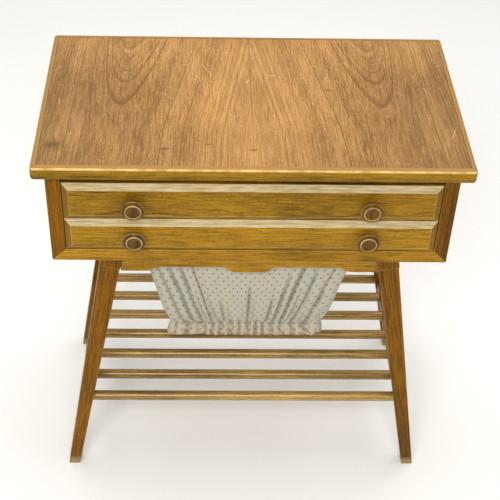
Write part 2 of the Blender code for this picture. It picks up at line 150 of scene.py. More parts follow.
def speckle(place, scale, detail=2.0, dimensions="3D"):
    """One Noise Texture, read as a value about one half."""
    steps = {
        "W" if dimensions == "1D" else "Vector": place, "Scale": scale, "Detail": detail, "Roughness": 0.55
    }
    return wire(place.id_data, "ShaderNodeTexNoise", steps, noise_dimensions=dimensions).outputs["Fac"]


def object_place(tree):
    """Where each point of the piece is, in the shared frame."""
    return wire(tree, "ShaderNodeTexCoord").outputs["Object"]


def parts(vector):
    """A vector's parts, X, Y and Z."""
    return wire(vector.id_data, "ShaderNodeSeparateXYZ", {0: vector}).outputs


def vector_of(x=0.0, y=0.0, z=0.0):
    """A vector put together from its parts."""
    return made(home((x, y, z)), "ShaderNodeCombineXYZ", {0: x, 1: y, 2: z})


def new_material(name):
    """A material with one Principled shader, and the tree to build on."""
    material = bpy.data.materials.new(name)
    material.use_nodes = True
    return material, material.node_tree, material.node_tree.nodes["Principled BSDF"]


floor_half = 6.0
paper, tree, shader = new_material("seamless paper")
place = object_place(tree)
mottle = speckle(place, 3.0)
feed(shader, {"Base Color": mixed(mottle, srgb(0.985, 0.982, 0.975), srgb(0.97, 0.968, 0.96))})
feed(shader, {"Roughness": 0.9})
floor_mesh = bpy.data.meshes.new("studio_floor")
corners = [
    (-floor_half, -floor_half, 0), (floor_half, -floor_half, 0), (floor_half, floor_half, 0),
    (-floor_half, floor_half, 0),
]
floor_mesh.from_pydata(corners, [], [(0, 1, 2, 3)])
floor_mesh.materials.append(paper)
studio_floor = bpy.data.objects.new("studio_floor", floor_mesh)
scene.collection.objects.link(studio_floor)


# ---
# Top panel. A flat board veneered with two matching leaves that meet on its centre line, so the
# arched growth rings mirror each other. Pressed, sanded and finished in a thin satin varnish.


def new_group(name, kind, inputs, outputs):
    """A node group with its sockets made, and the values that come in through them."""
    tree = bpy.data.node_groups.new(name, kind)
    for in_out, sockets in (("INPUT", inputs), ("OUTPUT", outputs)):
        for key, socket in sockets.items():
            tree.interface.new_socket(key, in_out=in_out, socket_type="NodeSocket" + socket)
    return tree, tree.nodes.new("NodeGroupInput").outputs


def spread(vector, factors):
    """A place with each of its parts scaled by its own factor."""
    return made(vector.id_data, "ShaderNodeVectorMath", {0: vector, 1: factors}, operation="MULTIPLY")


def stretched(vector, along, across):
    """The piece's grain space, drawn out along the fibres."""
    return spread(vector, (along, across, across))


def distance(vector, spot):
    """How far each point is from one spot."""
    return wire(
        vector.id_data, "ShaderNodeVectorMath", {0: vector, 1: spot}, operation="DISTANCE"
    ).outputs["Value"]


grain_group, given = new_group(
    "wood grain", "ShaderNodeTree",
    {"Vector": "Vector", "Rings": "Float", "Light": "Color", "Dark": "Color", "Ring Width": "Float",
     "Wobble": "Float", "Ring Share": "Float", "Pore Depth": "Float", "Fleck": "Float"},
    {"Color": "Color", "Roughness": "Float", "Height": "Float"},
)
# Growth rings: each darkens slowly and ends in a thin sharp line; their widths and strengths vary.
drift = speckle(stretched(given["Vector"], 4.0, 17.0), 1.0)
drift = times(minus(drift, 0.5), given["Wobble"])
ring_count = calc("DIVIDE", plus(given["Rings"], drift), given["Ring Width"])
uneven = times(speckle(ring_count, 0.45, dimensions="1D"), 3.2)
ring_count = plus(ring_count, uneven)
late = between(calc("FRACT", ring_count), 0.45, 0.95)
late = calc("POWER", late, 3.0)
strength = between(speckle(ring_count, 0.37, dimensions="1D"), 0.35, 0.65, 0.15, 1.0)
late = times(times(late, strength), given["Ring Share"])
bands = between(speckle(ring_count, 0.21, detail=3.0, dimensions="1D"), 0.32, 0.68)
fibres = speckle(stretched(given["Vector"], 26.0, 520.0), 1.0, detail=4.0)
fibres = between(fibres, 0.33, 0.67)
cloudy = between(speckle(stretched(given["Vector"], 6.0, 12.0), 1.0), 0.3, 0.7)
pores = speckle(stretched(given["Vector"], 190.0, 1100.0), 1.0, detail=1.0)
pores = between(pores, 0.57, 0.68)
flecks = speckle(stretched(given["Vector"], 210.0, 760.0), 1.0, detail=1.0)
flecks = times(between(flecks, 0.60, 0.70), given["Fleck"])
lightness = calc("MULTIPLY_ADD", bands, 0.46, -0.27)
lightness = plus(lightness, times(fibres, 0.66))
lightness = plus(lightness, times(cloudy, 0.40))
lightness = plus(minus(lightness, late), flecks, clamp=True)
colour = mixed(lightness, given["Dark"], given["Light"])
pore_colour = mixed(1.0, given["Dark"], srgb(0.62, 0.55, 0.46), blend="MULTIPLY")
colour = mixed(times(pores, given["Pore Depth"]), colour, pore_colour)
rough = between(cloudy, 0.0, 1.0, 0.34, 0.44)
rough = plus(rough, times(pores, 0.2))
height = minus(times(fibres, 0.35), pores)
wire(grain_group, "NodeGroupOutput", {"Color": colour, "Roughness": rough, "Height": height})

# Rubbed edges: the varnish and stain are thinner where hands and cloths have passed.
wear_group, given = new_group(
    "rubbed edges", "ShaderNodeTree",
    {"Vector": "Vector", "Color": "Color", "Bare": "Color", "Amount": "Float"}, {"Color": "Color"},
)
edge = wire(wear_group, "ShaderNodeAttribute", attribute_name="wear").outputs["Fac"]
patchy = between(speckle(given["Vector"], 45.0, detail=4.0), 0.38, 0.62, 0.4, 1.0)
rubbed = times(times(edge, patchy), given["Amount"], clamp=True)
dirty = between(speckle(given["Vector"], 9.0, detail=3.0), 0.35, 0.65, 0.90, 1.04)
toned = made(wear_group, "ShaderNodeVectorMath", {0: given["Color"], 3: dirty}, operation="SCALE")
wire(wear_group, "NodeGroupOutput", {"Color": mixed(rubbed, toned, given["Bare"])})


def grain_place(tree):
    """Where each point is along, across and through the wood."""
    return wire(tree, "ShaderNodeAttribute", attribute_name="grain").outputs["Vector"]


def wood(name, light, dark, ring_width=0.004, wobble=0.010, ring_share=0.5, pores=0.5, fleck=0.3,
         bare=(0.86, 0.68, 0.36), worn=0.5, coat=0.1, bump=0.00012, shine=0.25):
    """A varnished wood whose figure follows each piece's own grain space."""
    material, tree, shader = new_material(name)
    grain = grain_place(tree)
    split = parts(grain)
    rings = plus(split["Y"], times(split["Z"], 0.55))
    figure = grain_node(tree, grain, rings, light, dark, ring_width, wobble, ring_share, pores, fleck)
    finish_wood(tree, shader, grain, figure, figure.outputs["Color"], bare, worn, coat, bump, shine)
    return material


def grain_node(tree, place, rings, light, dark, ring_width, wobble, ring_share, pores, fleck):
    """The wood grain group, set up for one wood."""
    figure = wire(tree, "ShaderNodeGroup", node_tree=grain_group)
    feed(figure, {"Vector": place, "Rings": rings, "Light": srgb(*light), "Dark": srgb(*dark),
                  "Ring Width": ring_width, "Wobble": wobble, "Ring Share": ring_share, "Pore Depth": pores,
                  "Fleck": fleck})
    return figure


def finish_wood(tree, shader, place, figure, colour, bare, worn, coat, bump, shine=0.25):
    """The rubbed edges, the open pores and the varnish that every wooden piece has."""
    given = {"Vector": place, "Color": colour, "Bare": srgb(*bare), "Amount": worn}
    rubbed = wire(tree, "ShaderNodeGroup", node_tree=wear_group)
    feed(rubbed, given)
    relief = {"Strength": 0.5, "Distance": bump, "Height": figure.outputs["Height"]}
    feed(shader, {
        "Base Color": rubbed.outputs["Color"], "Roughness": figure.outputs["Roughness"],
        "Normal": wire(tree, "ShaderNodeBump", relief).outputs["Normal"], "Specular IOR Level": shine,
        "Specular Tint": srgb(1.0, 0.82, 0.46), "Coat Weight": coat, "Coat Roughness": 0.25,
    })


def grain_space(mesh, along, shift):
    """Gives each point its place along, across and through the wood, moved on so no two pieces match."""
    run = Vector(along).normalized()
    side = Vector((0, 0, 1)).cross(run)
    side = side.normalized() if side.length > 0.5 else Vector((1, 0, 0))
    side = (side - run * side.dot(run)).normalized()
    through = run.cross(side)
    start = Vector((0.731 * shift, 0.417 * shift, 0.293 * shift))
    values = []
    for vertex in mesh.vertices:
        values += [
            vertex.co.dot(run) + start.x, vertex.co.dot(side) + start.y, vertex.co.dot(through) + start.z
        ]
    layer = mesh.attributes.new("grain", "FLOAT_VECTOR", "POINT")
    layer.data.foreach_set("vector", values)


pieces_made = 0


def place_piece(name, mesh, material, body, nodes, along=None):
    """Puts a finished mesh on its body, in place of the CAD nodes it stands for."""
    global pieces_made
    pieces_made += 1
    mesh.materials.clear()
    mesh.materials.append(material)
    if along is not None:
        grain_space(mesh, along, pieces_made)
    piece = bpy.data.objects.new(name, mesh)
    scene.collection.objects.link(piece)
    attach(piece, body)
    if nodes:
        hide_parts(*nodes)
    return piece


def eased(node, edge, steps=2, sharp=40.0):
    """A copy of a CAD node with its arrises sanded over; the sanded strips are marked as worn."""
    work = bmesh.new()
    work.from_mesh(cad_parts[node].data)
    bmesh.ops.remove_doubles(work, verts=work.verts, dist=1e-6)
    bmesh.ops.dissolve_limit(work, angle_limit=radians(0.5), verts=work.verts, edges=work.edges)
    arrises = [e for e in work.edges if e.is_manifold and e.calc_face_angle(0.0) > radians(sharp)]
    rounded = bmesh.ops.bevel(
        work, geom=arrises, offset=edge, segments=steps, profile=0.5, affect="EDGES", clamp_overlap=True
    )
    strips = set(rounded["faces"])
    worn = [1.0 if all(f in strips for f in v.link_faces) else 0.0 for v in work.verts]
    smooth = [f in strips for f in work.faces]
    mesh = bpy.data.meshes.new(node + "_finished")
    work.to_mesh(mesh)
    work.free()
    mesh.polygons.foreach_set("use_smooth", smooth)
    mesh.attributes.new("wear", "FLOAT", "POINT").data.foreach_set("value", worn)
    return mesh


def finish_node(node, suffix, edge, material, body, slot, along, **how):
    """Puts a CAD node's own shape in its place, with its arrises sanded over."""
    place_piece(node + suffix, eased(node, edge, **how), material, body, [node], along)


loop_x = 0.187
loop_lean = 0.05
loop_round = 0.06
loop_taper = 0.115
loop_front = -0.075
seam_half = 0.00022
knot_x = 0.1510
knot_y = -0.1245
knot_radius = 0.0022
stain_place = (-0.272, -0.118, 0.64)

veneer, tree, shader = new_material("bookmatched veneer")
place = object_place(tree)
split = parts(place)
from_seam = calc("ABSOLUTE", split["X"])
leaf = vector_of(x=split["Y"], y=from_seam, z=split["Z"])
centre = minus(loop_x, times(split["Y"], loop_lean))
offset = minus(from_seam, centre)
reach = calc("SQRT", plus(times(offset, offset), loop_round**2))
taper = between(offset, 0.02, 0.09, loop_taper, -0.03)
# The arches close in the back half; in front of loop_front the rings run straight.
ahead = minus(split["Y"], loop_front)
rise = calc("SQRT", plus(times(ahead, ahead), 0.0009))
rise = times(plus(rise, ahead), 0.5)
level = minus(reach, times(rise, taper))
figure = grain_node(
    tree, leaf, level, (0.79, 0.60, 0.365), (0.50, 0.345, 0.175), 0.0046, 0.005, 0.75, 0.5, 0.6
)
colour = figure.outputs["Color"]
# Towards the ends and front corners the colour turns greyer in patches, and the middle is lighter and more
# golden.
ends = plus(from_seam, times(split["Y"], -0.42))
ends = between(ends, 0.06, 0.36)
patches = speckle(place, 11.0, detail=5.0)
greyer_ends = times(ends, between(patches, 0.3, 0.7, 0.45, 1.0))
colour = mixed(times(greyer_ends, 0.62), colour, srgb(0.44, 0.35, 0.225))
golden = between(from_seam, 0.0, 0.13, 0.3, 0.0)
colour = mixed(golden, colour, srgb(0.76, 0.565, 0.33))
# An old dark stain near the front left corner.
stain = distance(place, stain_place)
stain = plus(stain, times(speckle(place, 130.0, detail=4.0), 0.03))
colour = mixed(between(stain, 0.010, 0.034, 0.75, 0.0), colour, srgb(0.25, 0.19, 0.12))
# A pair of pin knots, mirrored like the rest of the figure.
from_knot = distance(leaf, (knot_y, knot_x, 0.64))
knot = between(calc("ABSOLUTE", minus(from_knot, knot_radius)), 0.0003, 0.0011, 0.6, 0.0)
colour = mixed(knot, colour, srgb(0.40, 0.26, 0.11))
# Fine pale scratches, and a few short dark dents.
cells = wire(
    tree, "ShaderNodeTexVoronoi", {"Vector": spread(place, (13.0, 31.0, 9.0)), "Scale": 1.0},
    feature="DISTANCE_TO_EDGE",
)
lines = between(cells.outputs["Distance"], 0.0, 0.012, 1.0, 0.0)
broken = between(speckle(place, 38.0, detail=3.0), 0.55, 0.62)
scratched = times(times(lines, broken), 0.35)
colour = mixed(scratched, colour, srgb(0.93, 0.82, 0.62))
dents = wire(
    tree, "ShaderNodeTexVoronoi", {"Vector": spread(place, (17.0, 52.0, 0.0)), "Scale": 1.0}, feature="F1"
).outputs
chosen = between(wire(tree, "ShaderNodeSeparateColor", {0: dents["Color"]}).outputs[0], 0.90, 0.93)
dented = times(between(dents["Distance"], 0.05, 0.16, 0.75, 0.0), chosen)
colour = mixed(dented, colour, srgb(0.30, 0.22, 0.14))
seam = between(from_seam, seam_half, seam_half * 4, 0.45, 0.0)
colour = mixed(seam, colour, srgb(0.40, 0.27, 0.13))
finish_wood(tree, shader, place, figure, colour, (0.86, 0.70, 0.44), 0.4, 0.12, 0.00012)

panel_edge = 0.00035
place_piece("top_panel_board", eased("top_panel", panel_edge), veneer, "table", ["top_panel"])


# ---
# Lipping. Four solid strips glued round the veneered board and mitred at its corners, their two outer
# arrises rounded over with a plane. The upper round is painted pale, partly as rubbed wear and partly as a
# painted highlight, and faces turned upwards are painted paler as a painted highlight.


def painted(tree):
    """The colour that goes into a finished material's shader so far, and the shader."""
    shader = tree.nodes["Principled BSDF"]
    return shader.inputs["Base Color"].links[0].from_socket, shader


lipping_width = 0.008
lipping_round = 0.0045
lipping_low = 0.619
lipping_high = 0.640
panel_half = (0.292, 0.164)
mitre_gap = 0.0002
arc_steps = 9
corner_round = 0.005
corner_stations = 8
corner_spacing = 0.0009
plain_stations = 36

lipping_wood = wood(
    "lipping wood", (0.63, 0.47, 0.10), (0.28, 0.19, 0.01), ring_width=0.0035, worn=1.0,
    bare=(0.95, 0.80, 0.56), coat=0.05,
)
tree = lipping_wood.node_tree
varnished, shader = painted(tree)
# Faces turned upwards are painted paler: a painted highlight.
upward = parts(wire(tree, "ShaderNodeNewGeometry").outputs["Normal"])["Z"]
painted_top_highlight = between(upward, 0.75, 0.98, 0.0, 0.75)
feed(shader, {"Base Color": mixed(painted_top_highlight, varnished, srgb(0.66, 0.50, 0.30))})


def skin(name, points, faces, worn):
    """A closed smooth mesh, its faces turned outwards and its wear kept with each point."""
    mesh = bpy.data.meshes.new(name)
    mesh.from_pydata(points, [], faces)
    mesh.attributes.new("wear", "FLOAT", "POINT").data.foreach_set("value", worn)
    work = bmesh.new()
    work.from_mesh(mesh)
    bmesh.ops.remove_doubles(work, verts=work.verts, dist=1e-6)
    bmesh.ops.recalc_face_normals(work, faces=work.faces)
    work.to_mesh(mesh)
    work.free()
    mesh.shade_smooth()
    return mesh


def lipping_outline():
    """The strip's section as (distance out from the board, height), from the inner lower corner."""
    flat = lipping_width - lipping_round
    turns = [pi / 2 * step / arc_steps for step in range(arc_steps + 1)]
    outline = [(0.0, lipping_low)]
    outline += [(flat + lipping_round * sin(t), lipping_low + lipping_round * (1 - cos(t))) for t in turns]
    outline += [(flat + lipping_round * cos(t), lipping_high - lipping_round * (1 - sin(t))) for t in turns]
    return outline + [(0.0003, lipping_high), (0.0, lipping_high - 0.0003)]


def lipping_strip(node, out, run, half_out, half_run):
    """One mitred strip, its outer corners rounded in plan as well."""
    outline = lipping_outline()
    near_end = [step * corner_spacing / (half_run + lipping_width) for step in range(corner_stations)]
    shares = [step - 1.0 for step in near_end] + [
        2.0 * step / plain_stations - 1.0 for step in range(1, plain_stations)
    ]
    shares += [1.0 - step for step in reversed(near_end)]
    flat = lipping_width - corner_round
    stations = len(shares) - 1
    points = []
    worn = []
    for share in shares:
        for distance, height in outline:
            along = share * (half_run + distance - mitre_gap)
            past_end = abs(along) - half_run - flat
            past_face = distance - flat
            away = distance
            if past_end > 0 and past_face > 0:
                squash = max(past_end, past_face) / hypot(past_end, past_face)
                along = (half_run + flat + past_end * squash) * (1 if along > 0 else -1)
                away = flat + past_face * squash
            spot = Vector(out) * (half_out + away) + Vector(run) * along
            points.append((spot.x, spot.y, height))
            # Wear peaks along the middle of the upper round only. Its pale colour is partly rubbed wear and
            # partly a painted highlight along the top edge.
            past_round = max(0.0, height - (lipping_high - lipping_round)) / lipping_round
            worn.append(sin(pi * past_round) ** 2 if distance > 0.001 else 0.0)
    count = len(outline)
    faces = [
        (a + b, a + (b + 1) % count, a + count + (b + 1) % count, a + count + b)
        for a in range(0, stations * count, count)
        for b in range(count)
    ]
    faces += [tuple(range(count)), tuple(range(stations * count, stations * count + count))]
    mesh = skin(node + "_finished", points, faces, worn)
    mesh.set_sharp_from_angle(angle=radians(35))
    place_piece(node + "_strip", mesh, lipping_wood, "table", [node], along=run)


for end, way in (("front", -1), ("back", 1)):
    lipping_strip("top_lipping_" + end, (0, way, 0), (1, 0, 0), panel_half[1], panel_half[0])
for side, way in (("left", -1), ("right", 1)):
    lipping_strip("top_lipping_" + side, (way, 0, 0), (0, 1, 0), panel_half[0], panel_half[1])


# ---
# Case. Two solid sides mitred and glued to the bottom board, tied at the top by two flat rails, with a
# thin plywood panel let in at the back. The front edges are sanded and their corners rubbed.

board_edge = 0.0009
case_wood = wood("case wood", (0.56, 0.355, 0.01), (0.29, 0.17, 0.0), ring_width=0.005, worn=0.55, coat=0.03)
bottom_wood = wood(
    "bottom board wood", (0.73, 0.54, 0.14), (0.38, 0.26, 0.02), ring_width=0.006, worn=0.5,
    bare=(0.93, 0.79, 0.48), coat=0.03,
)
# The top rails are painted very dark: a painted shade for the recess above the upper drawer.
shaded_rail_wood = wood("case rail wood in painted shade", (0.22, 0.15, 0.06), (0.12, 0.08, 0.03), worn=0.2, coat=0.0, shine=0.1)
for side in ("left", "right"):
    node = f"case_{side}_side"
    finish_node(node, "_board", board_edge, case_wood, "table", "case_wood", (0, 0, 1))
finish_node("case_bottom", "_board", board_edge, bottom_wood, "table", "rail_wood", (1, 0, 0))
for node in ("top_front_rail", "top_back_rail"):
    finish_node(node, "_strip", 0.0006, shaded_rail_wood, "table", "case_wood", (1, 0, 0))

ply_thickness = 0.0012


def plywood(name, light, dark, thin_axis):
    """Veneers laid crosswise: a plain face, and light and dark plies along every sawn edge."""
    material, tree, shader = new_material(name)
    grain = grain_place(tree)
    across = parts(grain)["Y"]
    figure = grain_node(tree, grain, across, light, dark, 0.009, 0.02, 0.35, 0.35, 0.2)
    seat = object_place(tree)
    depth = parts(seat)[thin_axis]
    ply = calc("PINGPONG", depth, ply_thickness)
    stripes = between(ply, ply_thickness * 0.42, ply_thickness * 0.58)
    facing = parts(wire(tree, "ShaderNodeNewGeometry").outputs["True Normal"])[thin_axis]
    on_edge = between(calc("ABSOLUTE", facing), 0.3, 0.6, 0.6, 0.0)
    colour = mixed(times(stripes, on_edge), figure.outputs["Color"], srgb(*dark))
    finish_wood(tree, shader, grain, figure, colour, light, 0.2, 0.05, 0.0001)
    return material


back_ply = plywood("back panel plywood", (0.76, 0.62, 0.41), (0.58, 0.44, 0.26), "Y")
finish_node("case_back", "_panel", 0.0004, back_ply, "table", "plywood", (1, 0, 0))


# ---
# Drawer runners. Four hardwood strips screwed to the case sides; the grooves in the drawer sides slide
# on them. Planed pale wood, waxed and not varnished, a little polished where the grooves rub.

box_wood = wood(
    "drawer box wood", (0.80, 0.67, 0.46), (0.62, 0.48, 0.29), ring_share=0.35, pores=0.25,
    bare=(0.88, 0.77, 0.58), worn=0.3, coat=0.03,
)
for level in ("upper", "lower"):
    for side in ("left", "right"):
        node = f"{level}_runner_{side}"
        finish_node(node, "_strip", 0.0008, box_wood, "table", "drawer_box_wood", (0, 1, 0))


# ---
# Drawers. A raised front with a bevel planed along all four edges, grooved sides, a back and a thin
# plywood bottom. The bevels were cut across the figure; the upward ones are painted paler in streaks as a
# painted sheen, and faces turned sideways are painted darker as painted shade.

front_edge = 0.0005
bevel_sheen_share = 0.85
front_wood = wood("drawer front wood", (0.68, 0.505, 0.11), (0.27, 0.18, 0.01), ring_width=0.0065,
                  wobble=0.034, ring_share=0.35,
                  pores=0.5, worn=0.75, bare=(0.93, 0.84, 0.58), coat=0.06)
tree = front_wood.node_tree
varnished, shader = painted(tree)
facing = parts(wire(tree, "ShaderNodeNewGeometry").outputs["True Normal"])
upward = facing["Z"]
# Faces turned sideways are painted darker: a painted shade.
painted_side_shade = between(calc("ABSOLUTE", facing["X"]), 0.2, 0.4, 0.0, 0.6)
varnished = mixed(painted_side_shade, varnished, srgb(0.42, 0.29, 0.05))
place = grain_place(tree)
# The upward bevels are painted paler in streaks: a painted sheen.
streaks = speckle(stretched(place, 30.0, 420.0), 1.0, detail=3.0)
bevelled = times(between(upward, 0.25, 0.50), between(upward, 0.90, 0.98, 1.0, 0.0))
painted_bevel_sheen = times(bevelled, between(streaks, 0.32, 0.68, 0.35, 1.0))
painted_bevel_sheen = times(painted_bevel_sheen, bevel_sheen_share)
feed(shader, {"Base Color": mixed(painted_bevel_sheen, varnished, srgb(0.84, 0.795, 0.65))})
bottom_ply = plywood("drawer bottom plywood", (0.80, 0.67, 0.46), (0.62, 0.48, 0.30), "Z")
for level in ("upper", "lower"):
    body = level + "_drawer"
    node = f"{body}_front"
    finish_node(node, "_board", front_edge, front_wood, body, "drawer_front_wood", (1, 0, 0), sharp=15.0)
    for side in ("left", "right"):
        node = f"{body}_{side}_side"
        finish_node(node, "_board", 0.0006, box_wood, body, "drawer_box_wood", (0, 1, 0))
    node = f"{body}_back"
    finish_node(node, "_board", 0.0006, box_wood, body, "drawer_box_wood", (1, 0, 0))
    node = f"{body}_bottom"
    finish_node(node, "_sheet", 0.0003, bottom_ply, body, "plywood", (1, 0, 0))


# ---
# Knobs. Four knobs turned from dark hardwood: a foot against the drawer, a thin neck and a wide disc
# with a raised ring round a dished face. French polished, the ring and rim rubbed to a bright line.

knob_x = 0.1645
knob_front = -0.1588
knob_heights = {"upper": 0.5669, "lower": 0.5109}
knob_turns = 64
knob_outline = (
    (0.0, 0.0), (0.0, 0.0086), (0.0004, 0.0090), (0.0014, 0.0091), (0.0020, 0.0086), (0.0028, 0.0072),
    (0.0040, 0.0066), (0.0058, 0.0067), (0.0072, 0.0080), (0.0086, 0.0114), (0.0096, 0.0143),
    (0.0104, 0.0158), (0.0112, 0.0163), (0.0121, 0.0164), (0.0129, 0.0159), (0.0133, 0.0150),
    (0.0134, 0.0135), (0.0136, 0.0125), (0.0146, 0.0122), (0.0155, 0.0118), (0.0159, 0.0112),
    (0.0158, 0.0104), (0.0152, 0.0096), (0.0145, 0.0080), (0.0139, 0.0058), (0.0135, 0.0030), (0.0134, 0.0),
)
knob_wear = {12: 0.2, 13: 0.45, 14: 0.2, 19: 0.5, 20: 1.0, 21: 0.4}

knob_wood, tree, shader = new_material("polished knob wood")
place = object_place(tree)
grain = grain_place(tree)
across = parts(grain)["Y"]
figure = grain_node(tree, grain, across, (0.47, 0.31, 0.05), (0.18, 0.105, 0.0), 0.002, 0.004, 0.4, 0.4, 0.2)
finish_wood(tree, shader, place, figure, figure.outputs["Color"], (0.95, 0.80, 0.55), 0.9, 0.2, 0.00008)
feed(shader, {"Coat Roughness": 0.12})


def turned_knob(x, z):
    points = []
    worn = []
    for index, (distance, radius) in enumerate(knob_outline):
        for step in range(knob_turns):
            turn = 2 * pi * step / knob_turns
            points.append((x + radius * cos(turn), knob_front - distance, z + radius * sin(turn)))
            worn.append(knob_wear.get(index, 0.0))
    faces = [
        (a + b, a + (b + 1) % knob_turns, a + knob_turns + (b + 1) % knob_turns, a + knob_turns + b)
        for a in range(0, (len(knob_outline) - 1) * knob_turns, knob_turns)
        for b in range(knob_turns)
    ]
    return skin("turned_knob", points, faces, worn)


for level, z in knob_heights.items():
    for side, sign in (("left", -1), ("right", 1)):
        node = f"{level}_{side}_knob"
        place_piece(
            node + "_turned", turned_knob(sign * knob_x, z), knob_wood, level + "_drawer",
            [node], along=(0.2, 0, 1),
        )


# ---
# Screws. Slotted countersunk steel screws: in the runners, up through the top rails, down through the
# case floor into the aprons, and up into the bag guides. Round-headed ones hold the knobs from inside.

steel, tree, shader = new_material("screw steel")
place = object_place(tree)
tarnish = between(speckle(place, 420.0, detail=4.0), 0.4, 0.65)
feed(shader, {"Base Color": mixed(tarnish, srgb(0.66, 0.64, 0.60), srgb(0.42, 0.36, 0.29))})
feed(shader, {"Roughness": between(tarnish, 0.0, 1.0, 0.32, 0.6)})
feed(shader, {"Metallic": 1.0})


screw_sizes = (
    "Head Radius", "Head Depth", "Shank Radius", "Shank Length", "Slot Width", "Slot Depth", "Proud"
)


def screw_tree():
    """Geometry Nodes: one slotted screw at every point, its head turned to face the point's own way."""
    inputs = {"Geometry": "Geometry", **dict.fromkeys(screw_sizes, "Float"), "Finish": "Material"}
    tree, given = new_group("slotted screws", "GeometryNodeTree", inputs, {"Geometry": "Geometry"})
    tree.is_modifier = True
    slot_length = times(given["Head Radius"], 2.6)
    shank_top = plus(given["Shank Radius"], 0.0002)
    head = wire(tree, "GeometryNodeMeshCone", {
        "Vertices": 24, "Radius Top": given["Head Radius"], "Radius Bottom": shank_top,
        "Depth": given["Head Depth"],
    })
    slot_size = vector_of(x=slot_length, y=given["Slot Width"], z=given["Slot Depth"])
    cutter = wire(tree, "GeometryNodeMeshCube", {"Size": slot_size}).outputs["Mesh"]
    lift = vector_of(z=given["Head Depth"])
    cutter = made(tree, "GeometryNodeTransform", {"Geometry": cutter, "Translation": lift})
    slotted = wire(
        tree, "GeometryNodeMeshBoolean", {"Mesh 1": head.outputs["Mesh"], "Mesh 2": cutter},
        operation="DIFFERENCE", solver="EXACT",
    ).outputs["Mesh"]
    tip = times(given["Shank Radius"], 0.35)
    shank = wire(tree, "GeometryNodeMeshCone", {
        "Vertices": 12, "Radius Top": given["Shank Radius"], "Radius Bottom": tip,
        "Depth": given["Shank Length"],
    }).outputs["Mesh"]
    drop = vector_of(z=times(given["Shank Length"], -1.0))
    shank = made(tree, "GeometryNodeTransform", {"Geometry": shank, "Translation": drop})
    joined = tree.nodes.new("GeometryNodeJoinGeometry")
    tree.links.new(slotted, joined.inputs[0])
    tree.links.new(shank, joined.inputs[0])
    sink = vector_of(z=minus(given["Proud"], given["Head Depth"]))
    screw = made(tree, "GeometryNodeTransform", {"Geometry": joined.outputs[0], "Translation": sink})
    facing = wire(
        tree, "GeometryNodeInputNamedAttribute", {"Name": "facing"}, data_type="FLOAT_VECTOR"
    ).outputs["Attribute"]
    turn = made(tree, "FunctionNodeAlignRotationToVector", {"Vector": facing}, axis="Z")
    spin = wire(tree, "FunctionNodeRandomValue", {2: 0.0, 3: 3.14, "Seed": 4}, data_type="FLOAT").outputs[1]
    spun = made(tree, "FunctionNodeAxisAngleToRotation", {"Axis": (0, 0, 1), "Angle": spin})
    turn = made(
        tree, "FunctionNodeRotateRotation", {"Rotation": turn, "Rotate By": spun}, rotation_space="LOCAL"
    )
    placed = made(
        tree, "GeometryNodeInstanceOnPoints",
        {"Points": given["Geometry"], "Instance": screw, "Rotation": turn},
    )
    whole = made(tree, "GeometryNodeRealizeInstances", {0: placed})
    finished = made(tree, "GeometryNodeSetMaterial", {"Geometry": whole, "Material": given["Finish"]})
    wire(tree, "NodeGroupOutput", {0: finished})
    return tree


def run_nodes(name, mesh, tree, sizes):
    """Runs a Geometry Nodes tree on a mesh with its inputs set, and hands back the plain result."""
    carrier = bpy.data.objects.new(name, mesh)
    scene.collection.objects.link(carrier)
    modifier = carrier.modifiers.new("shape", "NODES")
    modifier.node_group = tree
    for item in tree.interface.items_tree:
        if item.in_out == "INPUT" and item.name in sizes:
            modifier[item.identifier] = sizes[item.name]
    carrier.update_tag()
    graph = bpy.context.evaluated_depsgraph_get()
    result = bpy.data.meshes.new_from_object(carrier.evaluated_get(graph), depsgraph=graph)
    carrier.modifiers.remove(modifier)
    bpy.data.objects.remove(carrier)
    result.name = name
    return result


def facing_points(name, spots):
    mesh = bpy.data.meshes.new(name)
    mesh.from_pydata([spot for spot, _ in spots], [], [])
    values = [value for _, way in spots for value in way]
    mesh.attributes.new("facing", "FLOAT_VECTOR", "POINT").data.foreach_set("vector", values)
    return mesh


screws = screw_tree()
countersunk = dict(zip(screw_sizes, (0.0036, 0.0022, 0.0016, 0.011, 0.0007, 0.0018, 0.0001)), Finish=steel)
runner_face = 0.2562
runner_rows = (0.5702, 0.5109)
top_rail_face = 0.6023
case_floor = 0.482
guide_face = 0.4405
table_spots = []
for sign in (-1, 1):
    for z in runner_rows:
        table_spots += [((sign * runner_face, y, z), (-sign, 0, 0)) for y in (-0.11, 0.0, 0.11)]
    table_spots += [
        ((sign * 0.2, -0.126, top_rail_face), (0, 0, -1)), ((sign * 0.2, 0.124, top_rail_face), (0, 0, -1))
    ]
    table_spots += [((sign * 0.2025, y, case_floor), (0, 0, 1)) for y in (-0.08, 0.08)]
    table_spots += [((sign * 0.09, 0.143, case_floor), (0, 0, 1))]
    table_spots += [((sign * 0.1782, y, guide_face), (0, 0, -1)) for y in (-0.09, 0.09)]
mesh = run_nodes("table_screws", facing_points("table screw places", table_spots), screws, countersunk)
place_piece("table_screws", mesh, steel, "table", [])

round_headed = dict(zip(screw_sizes, (0.0035, 0.0022, 0.0017, 0.026, 0.0008, 0.0018, 0.0023)), Finish=steel)
drawer_back_face = -0.139
for level, z in knob_heights.items():
    spots = [((sign * knob_x, drawer_back_face, z), (0, 1, 0)) for sign in (-1, 1)]
    mesh = run_nodes(
        level + "_knob_screws", facing_points(level + " screw places", spots), screws, round_headed
    )
    nodes = [f"{level}_left_knob_screw", f"{level}_right_knob_screw"]
    place_piece(level + "_knob_screws", mesh, steel, level + "_drawer", nodes)


# ---
# Legs. Four square legs sawn to a taper and set to splay outwards, each with a small shoulder cut just
# below the case. Orange-brown stained hardwood; the last few millimetres at the floor are worn bare.

